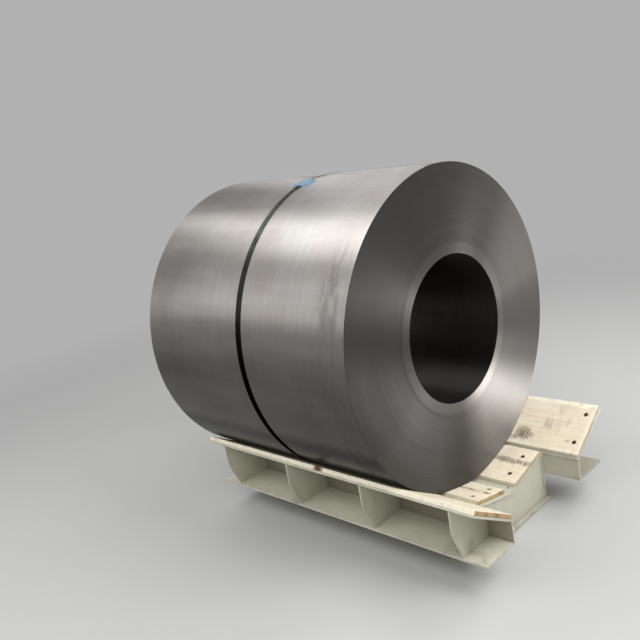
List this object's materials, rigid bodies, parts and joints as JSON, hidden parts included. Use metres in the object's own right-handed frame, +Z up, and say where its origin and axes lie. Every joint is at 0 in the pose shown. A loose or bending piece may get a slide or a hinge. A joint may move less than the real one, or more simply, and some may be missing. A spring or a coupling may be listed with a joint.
{
  "type": "steel coil",
  "caption": "Coil of cold-rolled steel strip with its bore level, strapped round the middle, lying on a board-lined steel coil saddle.",
  "frame": {"origin": "on the underside of the saddle, straight below the middle of the coil's width and its axis", "axes": "+X along the coil's axis, out of the end that the saddle reaches past; +Z up"},
  "size_m": [1.5469, 1.3299, 1.5321],
  "materials": {
    "coil_steel": "bare cold-rolled strip, satin",
    "strap_steel": "black-painted steel strapping",
    "pad_plastic": "blue sheet plastic",
    "board_wood": "worn pale boards",
    "saddle_paint": "worn cream-grey paint on steel plate",
    "stud_steel": "dull dark steel studs and nuts"
  },
  "bodies": {
    "root": {"steel_coil": "coil_steel", "strap": "strap_steel", "strap_seal": "strap_steel", "strap_pad": "pad_plastic", "steep_boards": "board_wood", "shallow_boards": "board_wood", "board_studs": "stud_steel", "steep_plates": "saddle_paint", "far_shallow_plate": "saddle_paint", "near_shallow_plate": "saddle_paint", "box_walls": "saddle_paint", "box_ends": "saddle_paint", "box_floor": "saddle_paint", "wing_webs": "saddle_paint", "wing_flanges": "saddle_paint", "wing_gussets": "saddle_paint"}
  },
  "joints": []
}
